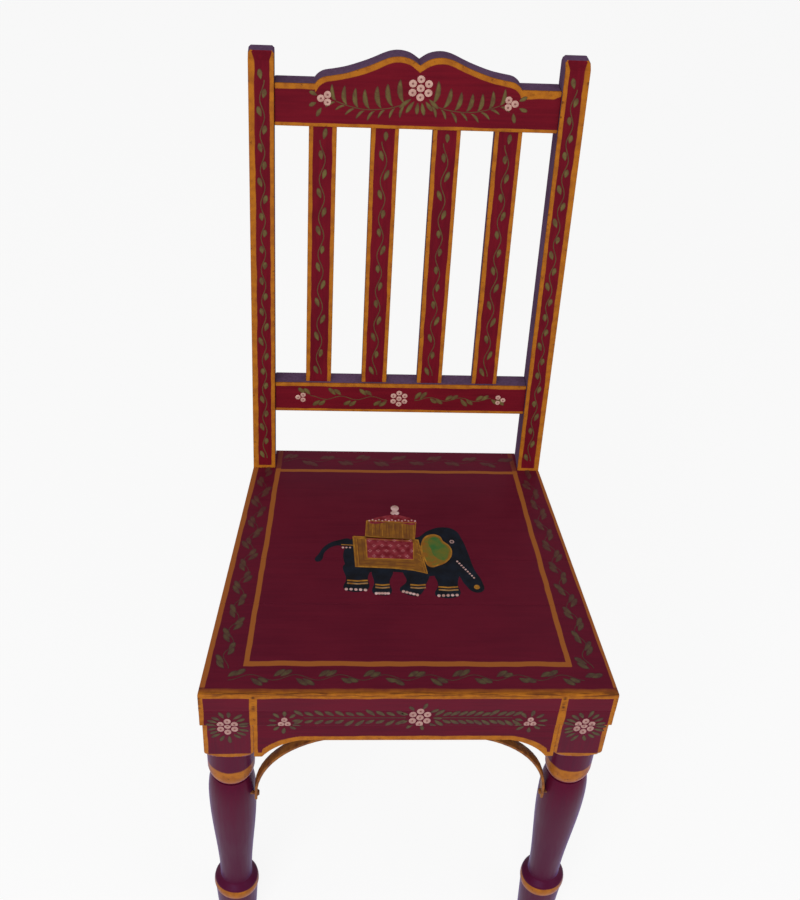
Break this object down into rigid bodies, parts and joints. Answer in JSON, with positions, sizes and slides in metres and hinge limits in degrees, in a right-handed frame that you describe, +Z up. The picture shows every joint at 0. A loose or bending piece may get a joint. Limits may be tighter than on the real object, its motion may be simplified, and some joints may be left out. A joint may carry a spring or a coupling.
{
  "type": "painted wooden chair",
  "caption": "Armless dining chair in maroon painted wood: raked slat back with shaped crest, tapered plank seat, turned front legs, iron corner straps.",
  "frame": {"origin": "on the floor, in the middle of the chair's overall box", "axes": "+X to the right seen from the front, -Y to the front, +Z up"},
  "size_m": [0.434, 0.4352, 0.9701],
  "materials": {
    "painted_wood": "gloss paint",
    "bare_wood": "matt",
    "painted_iron": "satin paint",
    "iron_nails": "dull"
  },
  "bodies": {
    "root": {"rear_post_left": "painted_wood", "rear_post_right": "painted_wood", "crest_rail": "painted_wood", "lower_back_rail": "painted_wood", "back_slat_1": "painted_wood", "back_slat_2": "painted_wood", "back_slat_3": "painted_wood", "back_slat_4": "painted_wood", "front_leg_left": "painted_wood", "front_leg_right": "painted_wood", "front_apron": "painted_wood", "side_apron_left": "painted_wood", "side_apron_right": "painted_wood", "rear_apron": "painted_wood", "seat_frame_front": "painted_wood", "seat_frame_left": "painted_wood", "seat_frame_right": "painted_wood", "seat_frame_rear": "painted_wood", "seat_board_front": "painted_wood", "seat_board_middle": "painted_wood", "seat_board_rear": "painted_wood", "back_rail_pegs": "bare_wood", "strap_left": "painted_iron", "strap_nails_left": "iron_nails", "strap_right": "painted_iron", "strap_nails_right": "iron_nails", "seat_nails": "iron_nails"}
  },
  "joints": []
}
